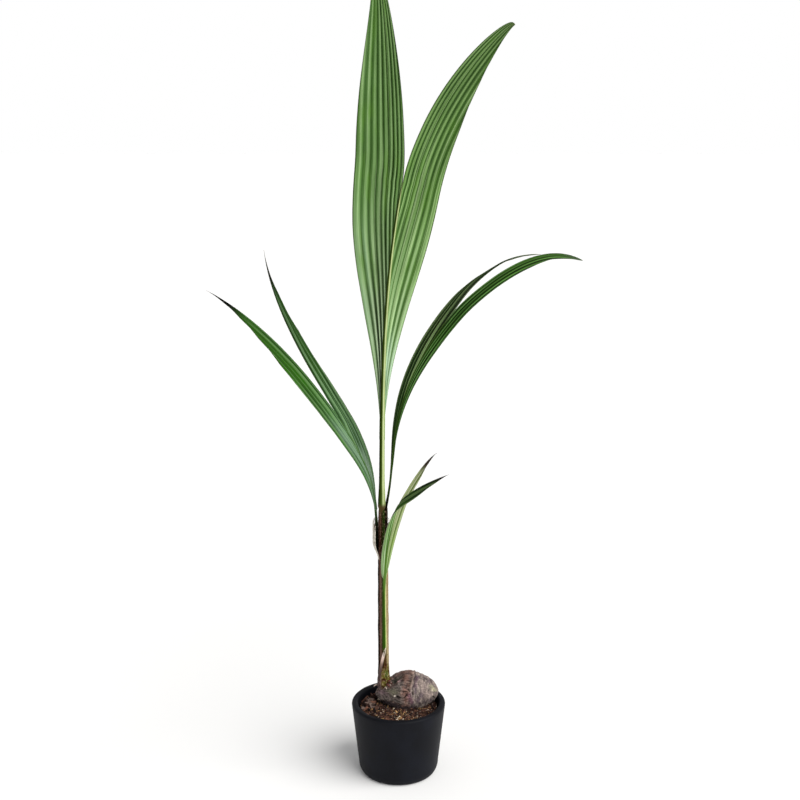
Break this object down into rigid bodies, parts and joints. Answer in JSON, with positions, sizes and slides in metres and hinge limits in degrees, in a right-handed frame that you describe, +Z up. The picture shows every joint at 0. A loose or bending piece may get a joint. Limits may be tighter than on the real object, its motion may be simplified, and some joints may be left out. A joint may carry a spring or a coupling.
{
  "type": "young coconut palm in a pot",
  "caption": "Young palm sprouting from its husked nut in a round matt black pot, with a slim fibrous stem and long pleated leaves split into two lobes at the tip.",
  "frame": {"origin": "centre of the pot's flat underside", "axes": "+Z up along the palm, -Y towards the front, +X to the right of the front view"},
  "size_m": [0.8675, 0.3027, 1.8572],
  "materials": {
    "pot": "matte",
    "soil": "matte",
    "husk": "matte",
    "stem": "matte",
    "fibre_net": "matte",
    "bract": "matte",
    "leaf_stalk": "satin",
    "tall_leaf": "satin",
    "side_leaf": "satin",
    "small_leaf": "satin"
  },
  "bodies": {
    "root": {"pot": "pot", "soil": "soil", "coconut": "husk", "stem": "stem", "fibre_sheath": "fibre_net", "bract": "bract", "tall_leaf_stalk": "leaf_stalk", "tall_leaf_left_lobe": "tall_leaf", "tall_leaf_right_lobe": "tall_leaf", "left_leaf_stalk": "leaf_stalk", "left_leaf_outer_lobe": "side_leaf", "left_leaf_inner_lobe": "side_leaf", "right_leaf_stalk": "leaf_stalk", "right_leaf_lower_lobe": "side_leaf", "right_leaf_upper_lobe": "side_leaf", "small_leaf_stalk": "leaf_stalk", "small_leaf_back_lobe": "small_leaf", "small_leaf_front_lobe": "small_leaf"}
  },
  "joints": []
}
